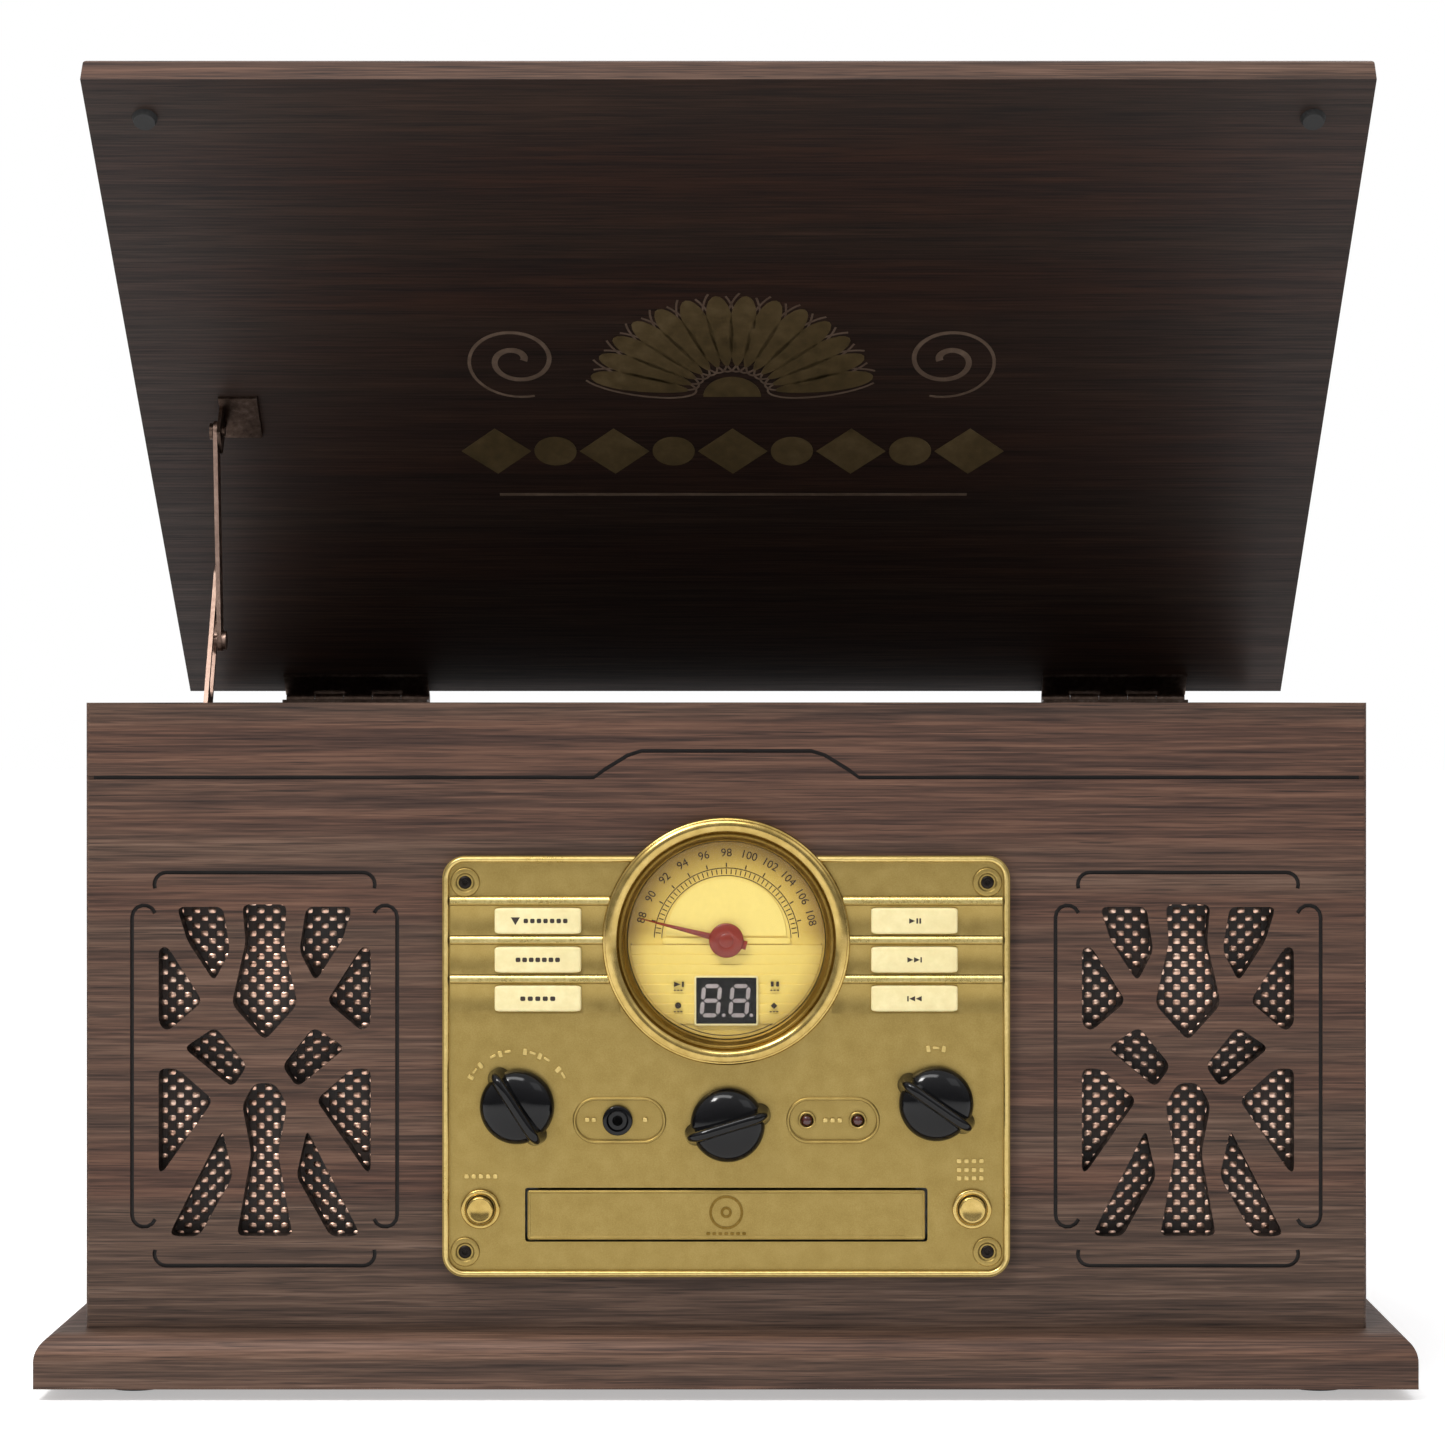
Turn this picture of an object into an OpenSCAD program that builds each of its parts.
// Table-top radio phonograph console: wooden cabinet with a lift-up lid, record deck,
// slide-out disc tray, radio dial and two speakers behind fretwork.
// Millimetres. X to the right, Y to the back, Z up. The lid is drawn at its open limit.

/* [Cabinet] */
// Width of the cabinet
cab_w = 430; // [426:1:440]
// Depth of the cabinet
cab_d = 330; // [328:1:340]
// Height of the cabinet walls
cab_h = 210; // [208:1:216]
// Thickness of the front panel
front_t = 9; // [8:1:10]
// Thickness of the side walls
side_t = 12; // [10:1:12]
// Thickness of the back wall
back_t = 12; // [11:1:12]
// Thickness of the base board
base_t = 18; // [16:1:20]
// How far the base stands out at the front and sides
base_over = 15; // [15:1:18]
// Height of the rubber feet
foot_h = 4; // [3:1:6]

/* [Lid] */
// Angle the lid opens to
lid_open = 38.7; // [38:0.1:39]
// Thickness of the lid
lid_t = 12; // [11:1:14]
// How far the lid stands out at the front and sides
lid_over = 13; // [12:1:14]
// Thickness of a hinge leaf
leaf_t = 1.25; // [1:0.05:1.4]
// Distance of the hinge line behind the cabinet
hinge_back = 4; // [4:0.5:5]

/* [Control plate] */
// Width of the moulded control plate
plate_w = 190; // [188:1:194]
// Height of the moulded control plate
plate_h = 141; // [140:1:143]
// Outer radius of the dial ring
dial_r = 41.5; // [41:0.5:42]
// Diameter of the round part of a knob
knob_d = 25; // [22:1:26]
// Length of a rectangular button
button_w = 29; // [27:1:30]
// Height of a rectangular button
button_h = 8.7; // [8:0.1:9]
// Width of the disc drawer front
drawer_w = 134.3; // [132:0.1:136]
// Height of the disc drawer front
drawer_h = 17.5; // [17:0.1:18]

/* [Record deck] */
// Radius of the platter
platter_r = 98; // [94:1:100]
// Height of the deck plate's top above the floor
deck_top = 177; // [176:1:178]
// Diameter of the record spindle's free end
spindle_d = 7.16; // [7.1:0.01:7.24]

/* [Speakers] */
// Distance of each speaker from the middle
speaker_x = 150; // [148:1:151]
// Outer radius of a speaker frame
speaker_r = 45; // [43:1:46]

/* [Hidden] */
$fn = 48;

gap = 0.3;            // clearance between bodies that move past each other
run_fit = 0.05;       // radial clearance of a running fit

// Main planes, worked out so that the open object's box is centred on the origin
floor_z = foot_h + base_t;
top_z = floor_z + cab_h;
lid_rise = 2 * leaf_t;                       // lid underside above the cabinet when closed
lid_l = cab_d + lid_over;
rear_reach = cab_d + hinge_back - hinge_back * cos(lid_open) + (leaf_t + lid_t) * sin(lid_open);
front_y = -(rear_reach - base_over) / 2;
back_y = front_y + cab_d;
hinge_y = back_y + hinge_back;
hinge_z = top_z + leaf_t;
in_x = cab_w / 2 - side_t;                   // inner face of a side wall
in_front = front_y + front_t;
in_back = back_y - back_t;

// Colours
wood = "#5a4339";
wood_dark = "#3a2820";
gold = "#a0884b";
gold_bright = "#d8c070";
black_plastic = "#161618";
dark_metal = "#4a3a30";
steel = "#b8b8b8";
cream = "#fdf3c8";
rubber = "#202020";

// ---------- helpers ----------

// A 2D outline drawn in X and Z, made thick along Y from y0 to y0 + t
module along_y(y0, t) {
    translate([0, y0 + t, 0])
        rotate([90, 0, 0])
            linear_extrude(t)
                children();
}

// A box from its lowest corner to its highest corner
module box(lo, hi) {
    translate(lo)
        cube(hi - lo);
}

// A round bar along Y
module rod_y(x, z, r, y0, y1) {
    translate([x, y1, z])
        rotate([90, 0, 0])
            cylinder(r = r, h = y1 - y0);
}

// A round bar along X
module rod_x(y, z, r, x0, x1) {
    translate([x0, y, z])
        rotate([0, 90, 0])
            cylinder(r = r, h = x1 - x0);
}

// Its children and their mirror image across the middle plane
module both_sides() {
    children();
    mirror([1, 0, 0])
        children();
}

// A rectangle centred on c with round corners, as an outline
module round_rect(c, w, h, r) {
    translate(c) {
        square([w - 2 * r, h], center = true);
        square([w, h - 2 * r], center = true);
        for (sx = [-1, 1])
            for (sz = [-1, 1])
                translate([sx * (w / 2 - r), sz * (h / 2 - r)])
                    circle(r);
    }
}

// Each corner of an outline replaced by a parabola that starts `cut` along its two sides
function rounded(pts, cut, steps = 4) = [
    for (i = [0 : len(pts) - 1])
        let (p = pts[i],
             a = pts[(i + len(pts) - 1) % len(pts)] - p,
             b = pts[(i + 1) % len(pts)] - p,
             ca = min(cut, 0.45 * norm(a)),
             cb = min(cut, 0.45 * norm(b)),
             pa = p + a / norm(a) * ca,
             pb = p + b / norm(b) * cb)
        for (k = [0 : steps])
            let (t = k / steps)
            (1 - t) * (1 - t) * pa + 2 * t * (1 - t) * p + t * t * pb];

// An outline mirrored left to right
function flipped(pts) = [for (i = [len(pts) - 1 : -1 : 0]) [-pts[i][0], pts[i][1]]];

// The direction square to an open line at one of its points
function line_normal(p, i) =
    let (a = p[max(i - 1, 0)], b = p[min(i + 1, len(p) - 1)], d = (b - a) / norm(b - a))
    [-d[1], d[0]];

// A band of constant width along an open line
function band(p, w) = concat(
    [for (i = [0 : len(p) - 1]) p[i] + line_normal(p, i) * w / 2],
    [for (i = [len(p) - 1 : -1 : 0]) p[i] - line_normal(p, i) * w / 2]);

// Points on an arc
function arc(c, r, a0, a1, n = 6) = [
    for (i = [0 : n]) let (a = a0 + (a1 - a0) * i / n) c + r * [cos(a), sin(a)]];

// A quarter-round cutter along X: removes the corner at the origin that faces -Y and +Z
module edge_cutter(length, r) {
    rotate([90, 0, 90])
        translate([0, 0, -length / 2])
            linear_extrude(length)
                difference() {
                    translate([-1, -r])
                        square([r + 1, r + 1]);
                    translate([r, -r])
                        circle(r);
                }
}

// ---------- cabinet ----------

base_front = front_y - base_over;
base_back = back_y + 5;
base_w = cab_w + 2 * base_over;
base_round = 9;

module base_board() {
    color(wood)
        difference() {
            box([-base_w / 2, base_front, foot_h], [base_w / 2, base_back, floor_z]);
            translate([0, base_front, floor_z])
                edge_cutter(base_w + 4, base_round);
            for (s = [0, 1])
                mirror([s, 0, 0])
                    translate([-base_w / 2, 0, floor_z])
                        rotate([0, 0, -90])
                            edge_cutter(cab_d + 60, base_round);
        }
}

foot_r = 11;
foot_x = base_w / 2 - 30;
foot_front = base_front + 30;
foot_back = base_back - 30;

module rubber_feet() {
    color(rubber)
        for (x = [-foot_x, foot_x])
            for (y = [foot_front, foot_back])
                translate([x, y, 0])
                    rotate_extrude()
                        polygon([[0, 0], [foot_r - 1, 0], [foot_r, foot_h], [0, foot_h]]);
}

// Fretwork: one grille's openings, x from the grille's middle, z from the floor
fret_x = 155;
fret_vase = [[-7.5, 164.3], [-6.4, 151.5], [-11.1, 130.7], [0, 118.5], [11.1, 130.7],
    [6.4, 151.5], [7.5, 164.3]];
fret_foot = [[-3.5, 104.3], [-7.6, 97], [-4.5, 80.7], [-9.4, 53], [9.4, 53], [4.5, 80.7],
    [7.6, 97], [3.5, 104.3]];
fret_pairs = [
    [[-29.5, 163.5], [-26, 152], [-17, 138.3], [-11.6, 148.7], [-14, 163.5]],
    [[-35.6, 149.5], [-35.6, 124], [-32.6, 121.6], [-20.8, 131.7], [-32.6, 150.2]],
    [[-27.2, 116.1], [-10.9, 102.8], [-5.8, 110], [-16.5, 123.2]],
    [[-35.6, 109.2], [-35.6, 74.6], [-34, 74.6], [-17.2, 98.6], [-29.3, 109.2]],
    [[-14.2, 88.8], [-31.8, 54], [-30, 52.8], [-22, 52.8], [-10.6, 73.1]]];

module fretwork() {
    polygon(rounded(fret_vase, 2.6));
    polygon(rounded(fret_foot, 2.6));
    for (p = fret_pairs) {
        polygon(rounded(p, 2.6));
        polygon(rounded(flipped(p), 2.6));
    }
}

// Decorative grooves, as lines
line_z = 206.9;        // height of the long groove
arch_z = 215.8;        // height of its raised middle
arch_half = [44.5, 41, 33, 28.5];
groove_w = 1.3;
groove_depth = 1;
long_groove = [[-cab_w / 2 - 1, line_z], [-arch_half[0], line_z], [-arch_half[1], line_z + 2.6],
    [-arch_half[2], arch_z - 1.4], [-arch_half[3], arch_z], [arch_half[3], arch_z],
    [arch_half[2], arch_z - 1.4], [arch_half[1], line_z + 2.6], [arch_half[0], line_z],
    [cab_w / 2 + 1, line_z]];
top_bracket = concat(arc([-33, 171], 4, 200, 90), arc([33, 171], 4, 90, -20));
foot_bracket = concat(arc([-33, 47], 4, 160, 270), arc([33, 47], 4, 270, 380));
side_bracket = concat(arc([-40.5, 160], 4, 20, 180), arc([-40.5, 60], 4, 180, 340));

module groove_lines() {
    polygon(band(long_groove, groove_w));
    for (x = [-fret_x, fret_x])
        translate([x, 0]) {
            polygon(band(top_bracket, groove_w));
            polygon(band(foot_bracket, groove_w));
            polygon(band(side_bracket, groove_w));
            mirror([1, 0])
                polygon(band(side_bracket, groove_w));
        }
}

// Control plate placement
plate_z0 = 39.7;
plate_z1 = plate_z0 + plate_h;
plate_mid = (plate_z0 + plate_z1) / 2;
plate_proud = 2.2;     // the plate's flat face in front of the wood
dial_z = 152.2;
cut_w = plate_w - 12;
cut_h = plate_h - 12;
corner_wood = 8;       // wood left behind the plate's corner screws

module plate_cutout() {
    round_rect([0, plate_mid], cut_w, cut_h - 2.6 * corner_wood, 3);
    round_rect([0, plate_mid], cut_w - 2 * corner_wood, cut_h, 3);
    translate([0, dial_z])
        circle(dial_r - 4);
}

edge_r = 1.5;

module front_panel() {
    color(wood)
        difference() {
            along_y(front_y, front_t)
                difference() {
                    translate([-cab_w / 2, floor_z])
                        square([cab_w, cab_h]);
                    plate_cutout();
                    for (x = [-fret_x, fret_x])
                        translate([x, 0])
                            fretwork();
                }
            along_y(front_y - 1, groove_depth + 1)
                groove_lines();
            // the two upright front corners are rounded
            both_sides()
                translate([-cab_w / 2, front_y, floor_z - 1])
                    linear_extrude(cab_h + 2)
                        difference() {
                            translate([-1, -1])
                                square(edge_r + 1);
                            translate([edge_r, edge_r])
                                circle(edge_r);
                        }
            plate_screw_bores(front_y - 1, screw_r + run_fit);
        }
}

cleat = 10;

module side_panel_left() {
    box([-cab_w / 2, in_front, floor_z], [-in_x, back_y, top_z]);
    box([-in_x, in_front + 20, deck_top - 3 - cleat], [-in_x + cleat, in_back - 20, deck_top - 3]);
}

module left_side_panel() {
    color(wood)
        side_panel_left();
}

module right_side_panel() {
    color(wood)
        mirror([1, 0, 0])
            side_panel_left();
}

jack_x = 110;          // middle of the rear jack panel
jack_z = 75;
jack_w = 140;
jack_h = 60;
vent_x = -95;
vent_w = 40;

module back_panel() {
    color(wood_dark)
        difference() {
            along_y(in_back, back_t)
                difference() {
                    translate([-in_x, floor_z])
                        square([2 * in_x, cab_h]);
                    round_rect([jack_x, jack_z], jack_w - 14, jack_h - 14, 3);
                    for (col = [-1, 0, 1])
                        for (row = [0 : 5])
                            round_rect([vent_x + col * 50, 60 + row * 12], vent_w, 4, 1.9);
                }
            hinge_screw_bores(screw_r + run_fit, 1);
        }
}

// ---------- hinges ----------

hinge_xs = [-158, 158];
hinge_w = 60;
knuckle_r = 2.5;
knuckle_w = hinge_w / 5;
pin_r = 1.25;
leaf_l = 15;           // how far a leaf reaches in front of the hinge line

// Every other knuckle of one hinge, from the first index given
module knuckles(x, from_index) {
    for (i = [from_index : 2 : 4])
        rod_x(hinge_y, hinge_z, knuckle_r, x - hinge_w / 2 + i * knuckle_w + gap / 2,
            x - hinge_w / 2 + (i + 1) * knuckle_w - gap / 2);
}

module pin_bore(x) {
    rod_x(hinge_y, hinge_z, pin_r + run_fit, x - hinge_w / 2 - 1, x + hinge_w / 2 + 1);
}

// Room cut in a leaf for the other leaf's knuckles
module knuckle_room(x, from_index) {
    for (i = [from_index : 2 : 4])
        rod_x(hinge_y, hinge_z, knuckle_r + gap, x - hinge_w / 2 + i * knuckle_w - gap / 2,
            x - hinge_w / 2 + (i + 1) * knuckle_w + gap / 2);
}

module hinge_cabinet_leaves() {
    color(dark_metal)
        for (x = hinge_xs)
            difference() {
                union() {
                    box([x - hinge_w / 2, hinge_y - leaf_l, top_z],
                        [x + hinge_w / 2, hinge_y, hinge_z - 0.1]);
                    knuckles(x, 0);
                }
                pin_bore(x);
                knuckle_room(x, 1);
            }
}

module hinge_pins() {
    color(steel)
        for (x = hinge_xs)
            rod_x(hinge_y, hinge_z, pin_r, x - hinge_w / 2 + 0.2, x + hinge_w / 2 - 0.2);
}

// Places its children, drawn for the closed lid, where the open lid has them
module on_open_lid() {
    translate([0, hinge_y, hinge_z])
        rotate([-lid_open, 0, 0])
            translate([0, -hinge_y, -hinge_z])
                children();
}

module hinge_lid_leaves() {
    color(dark_metal)
        on_open_lid()
            for (x = hinge_xs)
                difference() {
                    union() {
                        box([x - hinge_w / 2, hinge_y - leaf_l, hinge_z + 0.1],
                            [x + hinge_w / 2, hinge_y, hinge_z + leaf_t]);
                        knuckles(x, 1);
                    }
                    pin_bore(x);
                    knuckle_room(x, 0);
                }
}

// ---------- lid ----------

lid_w = cab_w + 2 * lid_over;
lid_under = top_z + lid_rise;
lid_top = lid_under + lid_t;
lid_edge_r = 4;

module lid_panel() {
    color(wood)
        on_open_lid()
            difference() {
                box([-lid_w / 2, front_y - lid_over, lid_under], [lid_w / 2, back_y, lid_top]);
                translate([0, front_y - lid_over, lid_top])
                    edge_cutter(lid_w + 4, lid_edge_r);
                both_sides()
                    translate([-lid_w / 2, 0, lid_top])
                        rotate([0, 0, -90])
                            edge_cutter(lid_l * 2 + 40, lid_edge_r);
            }
}

bumper_h = 2.2;
bumper_r = 4.5;

module lid_bumpers() {
    color(rubber)
        on_open_lid()
            for (x = [-207.5, 207.5])
                translate([x, front_y + 5.5, lid_under - bumper_h])
                    cylinder(r1 = bumper_r - 0.7, r2 = bumper_r, h = bumper_h);
}

// ---------- lid stay: a rod hung from the lid, its pin running in a slotted arm ----------

stay_p = [173, leaf_t - 8];    // rod's pivot on the closed lid: forward of the hinge, below it
stay_pin = [128, 24];          // pin with the lid open: forward of the hinge, above the cabinet
stay_q = [168.3, -47];         // arm's pivot: forward of the hinge, above the cabinet
arm_x = -201;                  // middle of the arm's thickness
rod_x0 = -198.2;               // middle of the rod's thickness
strip_t = 1.6;
stay_open = [stay_p[0] * cos(lid_open) - stay_p[1] * sin(lid_open),
    stay_p[0] * sin(lid_open) + stay_p[1] * cos(lid_open) + leaf_t];
rod_len = norm(stay_pin - stay_open);
rod_turn = atan2(stay_pin[1] - stay_open[1], stay_pin[0] - stay_open[0]);
arm_turn = atan2(stay_pin[1] - stay_q[1], stay_pin[0] - stay_q[0]);
arm_len = 108.5;
arm_half = 6.5;
slot_half = 4;
slot_from = 61;
slot_to = 86;
stay_pin_r = 2;

// Its children are drawn with x along the strip and y across it, and land in the YZ plane:
// x points forward and up from the pivot, thickness t is centred on x_mid
module strip_at(pivot, turn, x_mid, t) {
    translate([x_mid - t / 2, hinge_y - pivot[0], top_z + pivot[1]])
        rotate([-turn, 0, 0])
            rotate([0, 0, -90])
                rotate([90, 0, 0])
                    mirror([0, 0, 1])
                        linear_extrude(t)
                            children();
}

// A round bar along X through a point of the stay's plane
module stay_bar(p, r, x0, x1) {
    rod_x(hinge_y - p[0], top_z + p[1], r, x0, x1);
}

module strip(from, to, half) {
    translate([from, -half])
        square([to - from, 2 * half]);
    translate([from, 0])
        circle(half);
    translate([to, 0])
        circle(half);
}

module stay_arm() {
    color(dark_metal)
        strip_at(stay_q, arm_turn, arm_x, strip_t)
            difference() {
                strip(0, arm_len, arm_half);
                strip(slot_from, slot_to, slot_half);
                circle(2 + run_fit);
            }
}

module stay_rod() {
    color(dark_metal) {
        strip_at(stay_open, rod_turn, rod_x0, strip_t)
            difference() {
                strip(0, rod_len, 4);
                circle(2 + run_fit);
            }
        stay_bar(stay_pin, stay_pin_r, arm_x - 1.4, rod_x0 + 1.8);
        stay_bar(stay_pin, 3.6, rod_x0 + 0.8, rod_x0 + 2.4);
    }
}

module stay_cabinet_bracket() {
    color(dark_metal) {
        stay_bar(stay_q, 2, -in_x, arm_x + 1.8);
        stay_bar(stay_q, 3.4, arm_x + 1.2, arm_x + 2.2);
        box([-in_x, hinge_y - stay_q[0] - 8, top_z + stay_q[1] - 7],
            [-in_x + 0.8, hinge_y - stay_q[0] + 26, top_z + stay_q[1] + 7]);
    }
}

module stay_lid_bracket() {
    color(dark_metal) {
        stay_bar(stay_open, 2, rod_x0 - 2.2, rod_x0 + 3.4);
        stay_bar(stay_open, 3.2, rod_x0 - 2.3, rod_x0 - 1.2);
        on_open_lid() {
            box([rod_x0 + 1.2, hinge_y - stay_p[0] - 6, hinge_z + stay_p[1] - 6],
                [rod_x0 + 2.4, hinge_y - stay_p[0] + 6, lid_under]);
            box([rod_x0 + 1.2, hinge_y - stay_p[0] - 11, lid_under - 1.2],
                [rod_x0 + 16, hinge_y - stay_p[0] + 11, lid_under]);
        }
    }
}

// ---------- control plate ----------

plate_face = front_y - plate_proud;
rim_proud = 1.4;
rim_w = 1.8;
knob_zs = [96.7, 90.7, 97.7];
knob_xs = [-70, 0.5, 70.3];
button_x = 63;
button_zs = [159, 146, 133];
round_x = 82.3;
round_z = 62.4;
jack_hole_x = -36.4;
pair_z = 92;
led_xs = [27, 44.1];
stadium_w = 29;
stadium_h = 13;
stadium_x = 35.8;
drawer_z = 60.4;
screw_x = 87.5;
screw_zs = [48, 171.8];
slat_pitch = 13.1;
slat_top = 167;

// One clapboard slat: thicker towards its top lip
module slat(z_top) {
    both_sides()
        translate([-plate_w / 2 + 3, 0, 0])
            rotate([90, 0, 90])
                linear_extrude(plate_w / 2 - 3 - dial_r + 8)
                    polygon([[plate_face + 0.2, z_top - slat_pitch + 0.9],
                        [plate_face - 0.1, z_top - slat_pitch + 0.9],
                        [plate_face - 1.2, z_top - 0.9],
                        [plate_face - 0.9, z_top - 0.3],
                        [plate_face + 0.2, z_top]]);
}

module plate_holes() {
    for (s = [-1, 1]) {
        for (z = button_zs)
            round_rect([s * button_x, z], button_w + 2 * gap, button_h + 2 * gap, 1);
        translate([s * round_x, round_z])
            circle(4.8);
        for (z = screw_zs)
            translate([s * screw_x, z])
                circle(1.6);
    }
    for (i = [0 : 2])
        translate([knob_xs[i], knob_zs[i]])
            circle(3.3);
    translate([jack_hole_x, pair_z])
        circle(5.05);
    for (x = led_xs)
        translate([x, pair_z])
            circle(2.05);
    round_rect([0, drawer_z], drawer_w + 2 * gap, drawer_h + 2 * gap, 1);
    translate([0, dial_z])
        circle(dial_r + 0.1);
}

module control_plate() {
    color(gold)
        difference() {
            union() {
                along_y(plate_face, plate_proud)
                    round_rect([0, plate_mid], plate_w, plate_h, 7.5);
                along_y(plate_face - rim_proud, rim_proud + 0.2)
                    difference() {
                        round_rect([0, plate_mid], plate_w, plate_h, 7.5);
                        round_rect([0, plate_mid], plate_w - 2 * rim_w, plate_h - 2 * rim_w, 5.7);
                    }
                for (i = [0 : 2])
                    slat(slat_top - i * slat_pitch);
                for (s = [-1, 1]) {
                    rod_y(s * round_x, round_z, 6.5, plate_face - 1.8, plate_face + 0.2);
                    for (z = screw_zs)
                        rod_y(s * screw_x, z, 3.6, plate_face - 0.5, plate_face + 0.2);
                }
            }
            along_y(front_y - 12, 14)
                plate_holes();
            // two shallow round-ended recesses beside the middle knob
            along_y(plate_face - 0.5, 1.2)
                for (s = [-1, 1])
                    round_rect([s * stadium_x, pair_z], stadium_w, stadium_h, stadium_h / 2 - 0.01);
        }
}

ring_out = dial_r;
ring_in = 33.4;
spigot_r = dial_r - 4.3;   // the part of the ring let into the wood

module dial_ring() {
    color(gold_bright)
        translate([0, front_y, dial_z])
            rotate([90, 0, 0])
                rotate_extrude($fn = 96)
                    polygon(concat(
                        [[ring_in, -2], [spigot_r, -2], [spigot_r, 0], [ring_out, 0],
                            [ring_out, 5]],
                        arc([ring_out - 2.4, 5], 2.4, 0, 150),
                        [[ring_out - 4.6, 5.2], [ring_out - 5.2, 5.2]],
                        arc([ring_out - 6.3, 4.2], 1.2, 60, 170, 4),
                        [[ring_in, 3.6]]));
}

display_z = 131.9;
display_w = 20.5;
display_h = 15.8;

module dial_face() {
    color("#fae478")
        along_y(front_y + 1.6, 1.2)
            difference() {
                translate([0, dial_z])
                    circle(ring_in - 0.2);
                translate([0, dial_z])
                    circle(1.8);
                round_rect([0, display_z], display_w + 0.2, display_h + 0.2, 0.5);
            }
}

module dial_lens() {
    color("#f4f0e0", 0.3)
        along_y(front_y - 3.4, 1)
            translate([0, dial_z])
                circle(ring_in - 0.1);
}

module display_module() {
    color(black_plastic)
        along_y(front_y + 0.9, 8)
            round_rect([0, display_z], display_w, display_h, 0.4);
}

pointer_rest = 165.7;
pointer_len = 30;

module dial_pointer() {
    color("#87301e") {
        rod_y(0, dial_z, 1.5, front_y - 0.6, front_y + 11);
        translate([0, front_y + 0.6, dial_z])
            rotate([90, 0, 0])
                rotate_extrude()
                    polygon([[0, 0], [5.6, 0], [5.6, 1], [4.2, 1.9], [0, 2.4]]);
        translate([0, 0, dial_z])
            rotate([0, -pointer_rest, 0])
                along_y(front_y - 0.6, 0.7)
                    polygon([[0, -1.1], [pointer_len - 1, -0.45], [pointer_len, 0],
                        [pointer_len - 1, 0.45], [0, 1.1]]);
    }
}

led_r = 1.9;
led_len = 7.5;

module indicator_leds() {
    color("#5a1010")
        for (x = led_xs)
            translate([x, front_y + 6, pair_z])
                rotate([90, 0, 0])
                    rotate_extrude()
                        polygon(concat([[0, 0]], arc([0, led_len], led_r, 0, 90)));
}

module headphone_jack() {
    color(black_plastic)
        difference() {
            union() {
                rod_y(jack_hole_x, pair_z, 5, plate_face - 1, front_y + 2);
                box([jack_hole_x - 6, front_y + 1.5, pair_z - 6],
                    [jack_hole_x + 6, front_y + 15, pair_z + 6]);
            }
            rod_y(jack_hole_x, pair_z, 1.77, plate_face - 2, front_y + 12.8);
        }
}

press = 1.5;             // travel of a push button
switch_y = front_y + 12.5;
round_switch_y = front_y + 9.8;

// One rectangular button with the rib that presses its switch
module rect_button(x, z) {
    color(cream) {
        along_y(plate_face - 2.9, 4)
            round_rect([x, z], button_w, button_h, 0.9);
        along_y(plate_face + 1, switch_y - press - gap - plate_face - 1)
            round_rect([x, z], button_w - 8, button_h - 4, 0.5);
    }
}

module button_left_1() rect_button(-button_x, button_zs[0]);
module button_left_2() rect_button(-button_x, button_zs[1]);
module button_left_3() rect_button(-button_x, button_zs[2]);
module button_right_1() rect_button(button_x, button_zs[0]);
module button_right_2() rect_button(button_x, button_zs[1]);
module button_right_3() rect_button(button_x, button_zs[2]);

module round_button(x) {
    color(gold_bright)
        translate([x, front_y + 8, round_z])
            rotate([90, 0, 0])
                rotate_extrude()
                    polygon(concat([[0, 0], [2.5, 0], [2.5, 6], [4.5, 6]],
                        arc([3.5, 13.4], 1, 0, 90, 4), [[0, 14.7]]));
}

module round_button_left() round_button(-round_x);
module round_button_right() round_button(round_x);

// ---------- knobs ----------

shaft_r = 3;
knob_r = knob_d / 2;
knob_turns = [123, 17, 145];

// A bar knob: a low round skirt with a grip bar across it
module bar_knob(x, z, turn) {
    color(black_plastic) {
        translate([x, plate_face - 0.5, z])
            rotate([90, 0, 0])
                rotate_extrude()
                    polygon(concat([[0, 0], [knob_r, 0], [knob_r, 3.4]],
                        arc([knob_r - 3, 3.4], 3, 0, 72, 6), [[0, 7.4]]));
        translate([x, 0, z])
            rotate([0, -turn, 0])
                along_y(front_y - 14.4, 11.5)
                    round_rect([0, 0], knob_d + 4.6, 7.6, 3);
        rod_y(x, z, shaft_r, plate_face - 1, front_y + 14);
    }
}

module volume_knob() bar_knob(knob_xs[0], knob_zs[0], knob_turns[0]);
module function_knob() bar_knob(knob_xs[1], knob_zs[1], knob_turns[1]);
module tuning_knob() bar_knob(knob_xs[2], knob_zs[2], knob_turns[2]);

board_y = front_y + 20;

module knob_controls() {
    color(steel)
        for (i = [0 : 2])
            difference() {
                rod_y(knob_xs[i], knob_zs[i], 8, front_y + 8, board_y);
                rod_y(knob_xs[i], knob_zs[i], shaft_r + run_fit, front_y + 7, front_y + 15);
            }
}

module main_circuit_board() {
    color("#2e5a34") {
        difference() {
            box([-88, board_y, 86], [88, board_y + 1.6, 170]);
            rod_y(0, dial_z, 3, board_y - 1, board_y + 3);
        }
        for (s = [-1, 1])
            for (z = button_zs)
                box([s * button_x - 3, switch_y, z - 3], [s * button_x + 3, board_y, z + 3]);
        for (s = [-1, 1]) {
            box([s * round_x - 6, board_y, round_z - 8], [s * round_x + 6, board_y + 1.6, 87]);
            box([s * round_x - 3, round_switch_y, round_z - 3],
                [s * round_x + 3, board_y, round_z + 3]);
        }
        for (x = [-60 : 30 : 60])
            box([x - 8, board_y + 1.6, 108], [x + 8, board_y + 5, 122]);
    }
}

// ---------- disc drawer ----------

tray_half = 63;
tray_z0 = 55;
tray_z1 = 66;
tray_back = front_y + 142;
disc_y = front_y + 76;
drawer_front_y = plate_face - 0.8;

module cd_drawer_front() {
    color(gold)
        along_y(drawer_front_y, 3)
            round_rect([0, drawer_z], drawer_w, drawer_h, 0.8);
}

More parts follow.
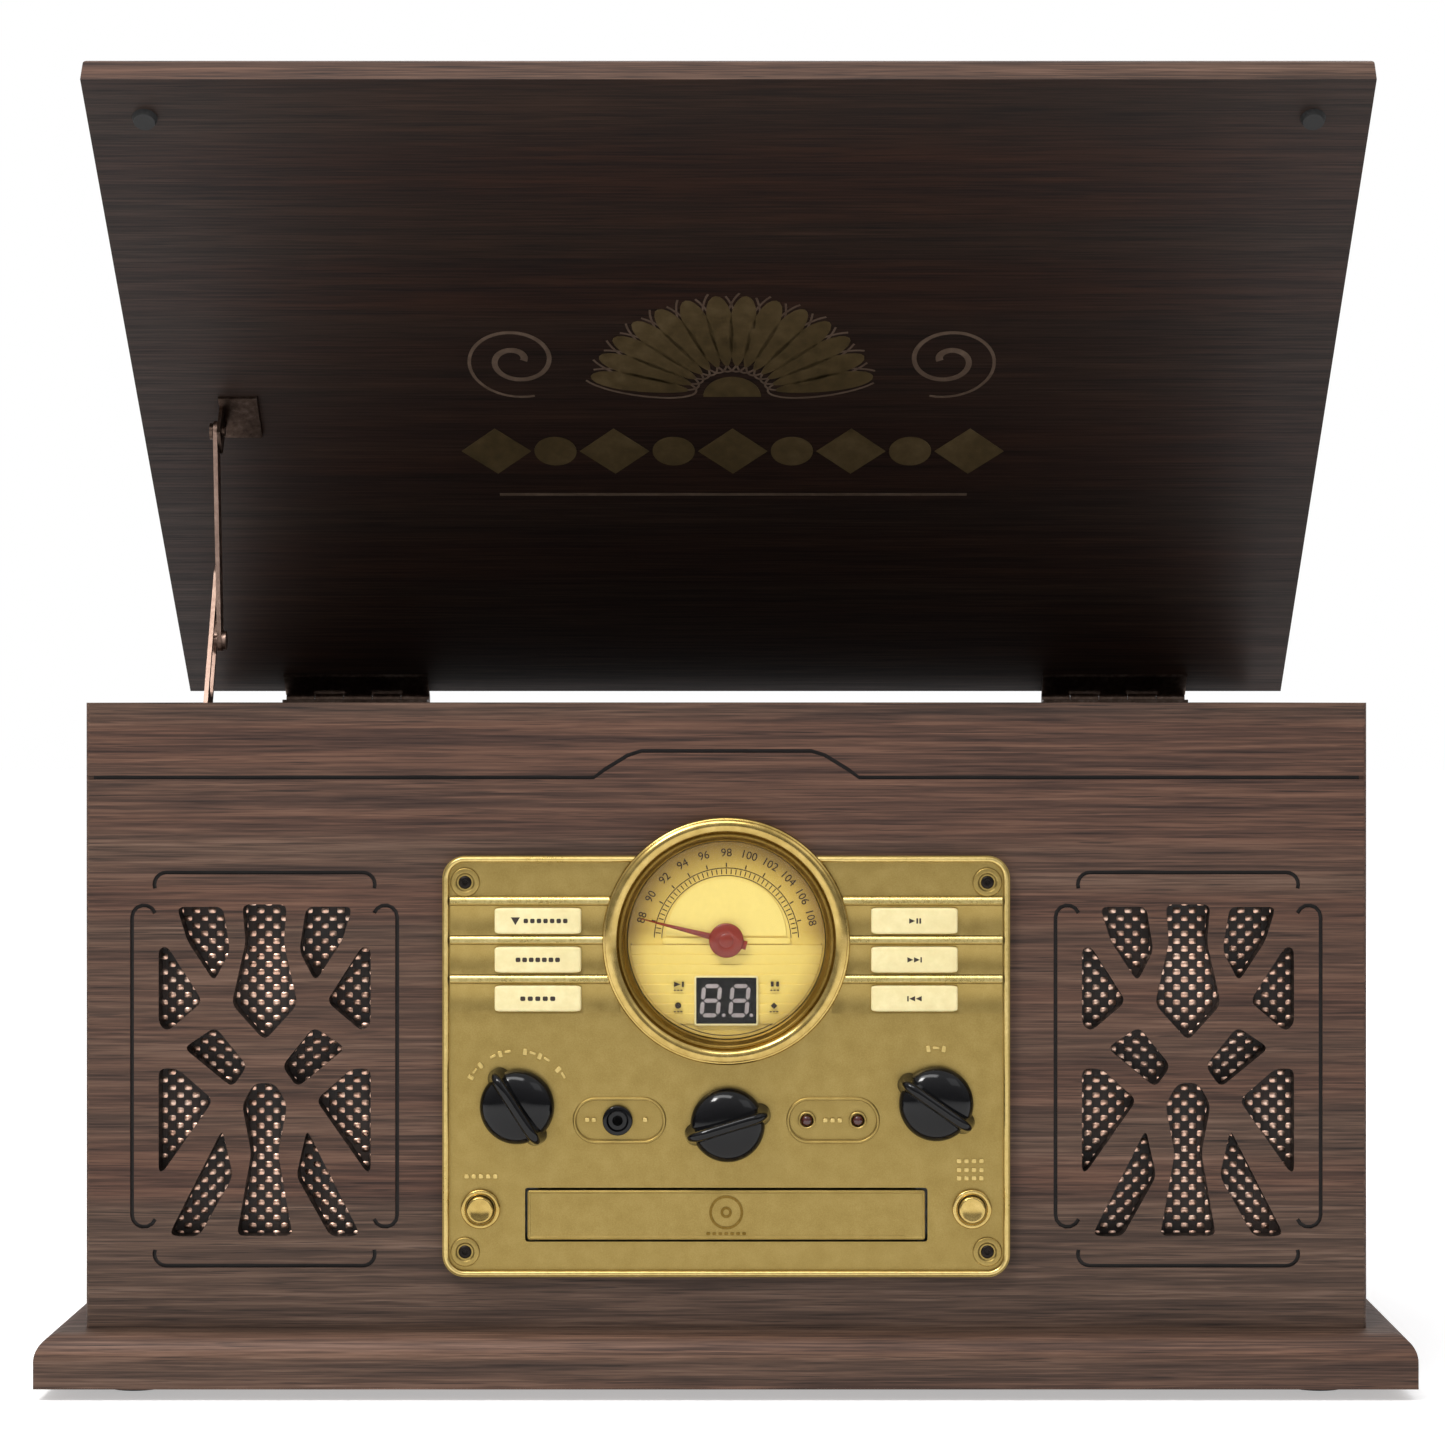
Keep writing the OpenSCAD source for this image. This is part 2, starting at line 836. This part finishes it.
module cd_tray() {
    color(black_plastic)
        difference() {
            box([-tray_half, drawer_front_y + 3, tray_z0], [tray_half, tray_back, tray_z1]);
            translate([0, disc_y, tray_z1 - 3])
                cylinder(r = 60.5, h = 10, $fn = 96);
            translate([0, disc_y, tray_z1 - 5])
                cylinder(r = 41, h = 10, $fn = 96);
            // opening for the disc motor and the laser
            box([-18, disc_y - 18, tray_z0 - 1], [18, tray_back - 8, tray_z1 + 1]);
        }
}

housing_half = 69;
housing_back = front_y + 180;

module cd_housing() {
    color("#5b5e60")
        difference() {
            box([-housing_half, front_y + 12, 47], [housing_half, housing_back, 74]);
            box([-tray_half - 1, front_y + 11, 49], [tray_half + 1, housing_back - 3, 72]);
        }
}

module cd_mechanism() {
    color(steel) {
        translate([0, disc_y, 49]) {
            cylinder(r = 12, h = 3.5);
            cylinder(r = 7, h = 5.2);
        }
        for (x = [-14, 14])
            rod_y(x, 51, 1.2, disc_y - 10, disc_y + 60);
        box([-16, disc_y + 24, 49], [16, disc_y + 42, 54]);
    }
}

// ---------- speakers ----------

speaker_z = 109;
mesh_t = 1;

module grille_mesh() {
    color("#8a6a58")
        both_sides()
            box([speaker_x - 36, in_front, 46], [in_x - 2, in_front + mesh_t, 172]);
}

// A shape turned about a speaker's axis; the outline's y is the distance behind the mesh
module behind_mesh(x) {
    translate([x, in_front + mesh_t, speaker_z])
        rotate([-90, 0, 0])
            rotate_extrude($fn = 64)
                children();
}

module speaker_baskets() {
    color("#2c2c2e")
        for (x = [-speaker_x, speaker_x]) {
            behind_mesh(x)
                polygon([[38.5, 0], [speaker_r, 0], [speaker_r, 1.6], [40.8, 1.6], [40.4, 3.6],
                    [22, 24.4], [22, 26], [12, 26], [12, 24.6], [20.5, 24.6], [38.5, 4]]);
            behind_mesh(x)
                polygon([[0, 24.6], [12.2, 24.6], [12.2, 26], [30, 26], [30, 38], [18, 38],
                    [18, 42], [0, 42]]);
        }
}

module speaker_cones() {
    color("#191919")
        for (x = [-speaker_x, speaker_x])
            behind_mesh(x)
                polygon([[0, 11.5], [5, 12.3], [9.5, 15.4], [31, 3.4], [34.4, 1.2], [38.2, 2.2],
                    [38.2, 3], [34.4, 2], [31.5, 4.6], [10, 18.2], [10, 24.2], [9, 24.2],
                    [9, 17], [0, 13]]);
}

// ---------- inner and rear electrics ----------

module power_transformer() {
    color("#6a6f74") {
        box([-160, in_back - 78, floor_z], [-110, in_back - 36, floor_z + 42]);
        box([-154, in_back - 84, floor_z + 8], [-116, in_back - 30, floor_z + 34]);
    }
}

socket_xs = [62, 80];
socket_r = 4.15;

module rear_jack_panel() {
    color(black_plastic)
        difference() {
            union() {
                along_y(back_y, 2)
                    round_rect([jack_x, jack_z], jack_w, jack_h, 3);
                for (x = socket_xs) {
                    rod_y(x, jack_z, 6, back_y + 1, back_y + 2.6);
                    rod_y(x, jack_z, socket_r, back_y + 1, back_y + 9);
                }
                // housing of the mains inlet, let into the panel
                box([jack_x + 20, back_y - 16, jack_z - 12], [jack_x + 48, back_y + 3, jack_z + 12]);
            }
            for (x = socket_xs)
                rod_y(x, jack_z, 1.6, back_y + 2, back_y + 10);
            box([jack_x + 23, back_y - 12, jack_z - 7], [jack_x + 45, back_y + 4, jack_z + 7]);
        }
}

// ---------- record deck ----------

spindle_x = -40;
spindle_y = (in_front + in_back) / 2;
deck_t = 3;
motor_xy = [spindle_x + 52, spindle_y + 62];
arm_xy = [150, spindle_y + 78];

module turntable_deck() {
    color("#231a16")
        difference() {
            union() {
                box([-in_x + gap, in_front + gap, deck_top - deck_t],
                    [in_x - gap, in_back - gap, deck_top]);
                translate([spindle_x, spindle_y, deck_top])
                    rotate_extrude($fn = 96)
                        translate([platter_r + 3, 0])
                            polygon([[0, -0.5], [4, -0.5], [4, 0.6], [3, 1.6], [1, 1.6], [0, 0.6]]);
            }
            translate([spindle_x, spindle_y, 0])
                cylinder(r = 7, h = deck_top + 5);
            translate([motor_xy[0], motor_xy[1], 0])
                cylinder(r = 4, h = deck_top + 5);
        }
}

spindle_r = spindle_d / 2;
bearing_r = 4;
platter_z0 = deck_top + 3;
platter_top = deck_top + 13;
mat_top = platter_top + 2.5;

module spindle_post() {
    color(steel)
        translate([spindle_x, spindle_y, 0]) {
            translate([0, 0, deck_top - 22])
                cylinder(r = 7, h = 25);
            translate([0, 0, deck_top - 22])
                cylinder(r = bearing_r, h = mat_top - deck_top + 22);
            translate([0, 0, mat_top])
                cylinder(r = spindle_r, h = 11);
            translate([0, 0, mat_top + 11])
                sphere(spindle_r);
        }
}

subrim_r = 60;

module platter() {
    color("#8e8e90")
        translate([spindle_x, spindle_y, 0])
            rotate_extrude($fn = 96)
                polygon([[bearing_r + run_fit, platter_z0 + 0.6], [9, platter_z0 + 0.6],
                    [9, platter_top - 3], [subrim_r - 4, platter_top - 3],
                    [subrim_r - 4, platter_z0 + 1], [subrim_r, platter_z0 + 1],
                    [subrim_r, platter_top - 3], [platter_r - 4, platter_top - 3],
                    [platter_r - 4, platter_z0], [platter_r, platter_z0],
                    [platter_r, platter_top - 1], [platter_r - 1, platter_top],
                    [bearing_r + run_fit, platter_top]]);
}

module platter_mat() {
    color(rubber)
        translate([spindle_x, spindle_y, 0])
            rotate_extrude($fn = 96)
                polygon(concat(
                    [[5, platter_top], [platter_r - 3, platter_top]],
                    [for (i = [0 : 9])
                        let (r = platter_r - 3 - i * 6)
                        each [[r, mat_top], [r - 3.6, mat_top], [r - 4.2, mat_top - 0.8],
                            [r - 5.4, mat_top - 0.8]]],
                    [[32, mat_top], [5, mat_top]]));
}

pulley_r = 5;
belt_t = 0.8;
belt_z0 = platter_z0 + 2;
belt_h = 3.4;

module drive_motor() {
    color(steel)
        translate([motor_xy[0], motor_xy[1], 0]) {
            translate([0, 0, deck_top - deck_t - 26])
                cylinder(r = 18, h = 26);
            translate([0, 0, deck_top - deck_t - 1])
                cylinder(r = 1.5, h = 9);
        }
}

module motor_pulley() {
    color("#d0b060")
        translate([motor_xy[0], motor_xy[1], 0])
            difference() {
                rotate_extrude()
                    polygon([[0, deck_top + 1], [6.2, deck_top + 1], [6.2, belt_z0 - 0.6],
                        [pulley_r, belt_z0 - 0.2], [pulley_r, belt_z0 + belt_h + 0.2],
                        [6.2, belt_z0 + belt_h + 0.6], [6.2, belt_z0 + belt_h + 1],
                        [0, belt_z0 + belt_h + 1]]);
                translate([0, 0, deck_top])
                    cylinder(r = 1.5 + run_fit, h = 6.5);
            }
}

// The loop round the platter's inner rim and the pulley, as an outline
module belt_outline(extra) {
    d = motor_xy - [spindle_x, spindle_y];
    big = subrim_r + gap + extra;
    small = pulley_r + gap + extra;
    turn = atan2(d[1], d[0]);
    lean = acos((big - small) / norm(d));
    polygon(concat(
        arc([spindle_x, spindle_y], big, turn + lean, turn + 360 - lean, 60),
        arc(motor_xy, small, turn - lean, turn + lean, 16)));
}

module drive_belt() {
    color(rubber)
        translate([0, 0, belt_z0])
            linear_extrude(belt_h)
                difference() {
                    belt_outline(belt_t);
                    belt_outline(0);
                }
}

// ---------- tonearm ----------

tube_z = deck_top + 29;
arm_reach = 200;
pivot_half = 8;

module tonearm_base() {
    color(black_plastic)
        translate([arm_xy[0], arm_xy[1], deck_top])
            difference() {
                union() {
                    rotate_extrude()
                        polygon([[0, 0], [21, 0], [21, 3], [19, 5], [12, 5], [10, 7], [10, 20],
                            [0, 20]]);
                    // pad for the cue lever
                    box([18, -14, 0], [34, 14, 6]);
                    box([25, -6, 5], [28, 6, 15]);
                }
                translate([0, 0, 8])
                    cylinder(r = 3 + run_fit, h = 20);
                rod_x(0, 11, 1.5 + run_fit, 20, 30);
            }
}

module tonearm_yoke() {
    color(black_plastic)
        translate([arm_xy[0], arm_xy[1], 0]) {
            translate([0, 0, deck_top + 9])
                cylinder(r = 3, h = 12);
            translate([0, 0, deck_top + 20.4])
                cylinder(r = 11, h = 1.6);
            difference() {
                both_sides()
                    box([pivot_half, -5, deck_top + 21], [pivot_half + 2.6, 5, tube_z + 5]);
                rod_x(0, tube_z, 1.5 + run_fit, -20, 20);
            }
        }
}

shell_y = -arm_reach + 8;

module tonearm_tube() {
    color("#c8c8ca")
        translate([arm_xy[0], arm_xy[1], tube_z]) {
            rod_y(0, 0, 4, shell_y + 8, 26);
            rod_y(0, 0, 6, -5, 5);
            rod_y(0, 0, 9, 20, 38);
            rod_x(0, 0, 1.5, -pivot_half - 2, pivot_half + 2);
        }
}

module cartridge_shell() {
    color(black_plastic)
        translate([arm_xy[0], arm_xy[1], tube_z]) {
            difference() {
                box([-7, shell_y - 22, -5], [7, shell_y + 12, 5.2]);
                rod_y(0, 0, 4, shell_y + 8, 26);
                box([-5.6, shell_y - 20.5, -6], [5.6, shell_y + 6, 3.6]);
            }
            box([-5, shell_y - 18, -9], [5, shell_y, 3.6]);
            box([-1, shell_y - 17, -11.6], [1, shell_y - 14, -9]);
            // finger lift
            box([7, shell_y - 14, 0], [15, shell_y - 8, 1.4]);
        }
}

module tonearm_rest() {
    color(black_plastic)
        translate([arm_xy[0], arm_xy[1] - 112, 0])
            difference() {
                union() {
                    translate([0, 0, deck_top])
                        cylinder(r = 8, h = 2.5);
                    box([-4, -3, deck_top], [4, 3, tube_z - 4]);
                    box([-8, -3, tube_z - 8], [8, 3, tube_z + 1]);
                }
                box([-4 - gap, -4, tube_z - 0.1], [4 + gap, 4, tube_z + 2]);
                rod_y(0, tube_z, 4 + gap, -4, 4);
            }
}

cue_x = arm_xy[0] + 29.6;
cue_z = deck_top + 11;

module cue_lever() {
    color(black_plastic) {
        rod_x(arm_xy[1], cue_z, 3.6, cue_x, cue_x + 4);
        box([cue_x, arm_xy[1] - 34, cue_z - 1.5], [cue_x + 4, arm_xy[1], cue_z + 1.5]);
        rod_x(arm_xy[1], cue_z, 1.5, cue_x - 4.9, cue_x + 1);
    }
}

selector_xy = [172, spindle_y - 108];

module speed_selector() {
    color(black_plastic)
        translate([selector_xy[0], selector_xy[1], deck_top + gap]) {
            rotate_extrude()
                polygon([[0, 0], [11, 0], [11, 3], [9, 5], [0, 5]]);
            translate([0, 0, 3])
                linear_extrude(6)
                    round_rect([0, 4], 6, 20, 2.9);
        }
}

// ---------- screws ----------

screw_r = 1.5;
screw_depth = 8;       // how deep a plate screw goes into the wood
hinge_screw_l = 11;

// The four plate screws, or their bores, from y0 into the front panel
module plate_screw_bores(y0, r) {
    for (s = [-1, 1])
        for (z = screw_zs)
            rod_y(s * screw_x, z, r, y0, front_y + screw_depth);
}

// The six hinge screws, or their bores, from the top edge of the back wall
module hinge_screw_bores(r, over) {
    for (x = hinge_xs)
        for (dx = [-20, 0, 20])
            translate([x + dx, in_back + 5, top_z - hinge_screw_l])
                cylinder(r = r, h = hinge_screw_l + over);
}

module wood_screws() {
    color(dark_metal) {
        plate_screw_bores(plate_face + 0.1, screw_r);
        hinge_screw_bores(screw_r, 0);
    }
}

base_board();
rubber_feet();
front_panel();
left_side_panel();
right_side_panel();
back_panel();
turntable_deck();
wood_screws();
hinge_cabinet_leaves();
hinge_pins();
stay_cabinet_bracket();
control_plate();
dial_ring();
dial_face();
dial_lens();
display_module();
indicator_leds();
headphone_jack();
grille_mesh();
speaker_baskets();
speaker_cones();
main_circuit_board();
power_transformer();
cd_housing();
cd_mechanism();
knob_controls();
drive_motor();
drive_belt();
spindle_post();
tonearm_base();
tonearm_rest();
rear_jack_panel();
lid_panel();
lid_bumpers();
hinge_lid_leaves();
stay_lid_bracket();
stay_rod();
stay_arm();
platter();
platter_mat();
motor_pulley();
tonearm_yoke();
tonearm_tube();
cartridge_shell();
cue_lever();
speed_selector();
volume_knob();
function_knob();
tuning_knob();
dial_pointer();
cd_tray();
cd_drawer_front();
button_left_1();
button_left_2();
button_left_3();
button_right_1();
button_right_2();
button_right_3();
round_button_left();
round_button_right();
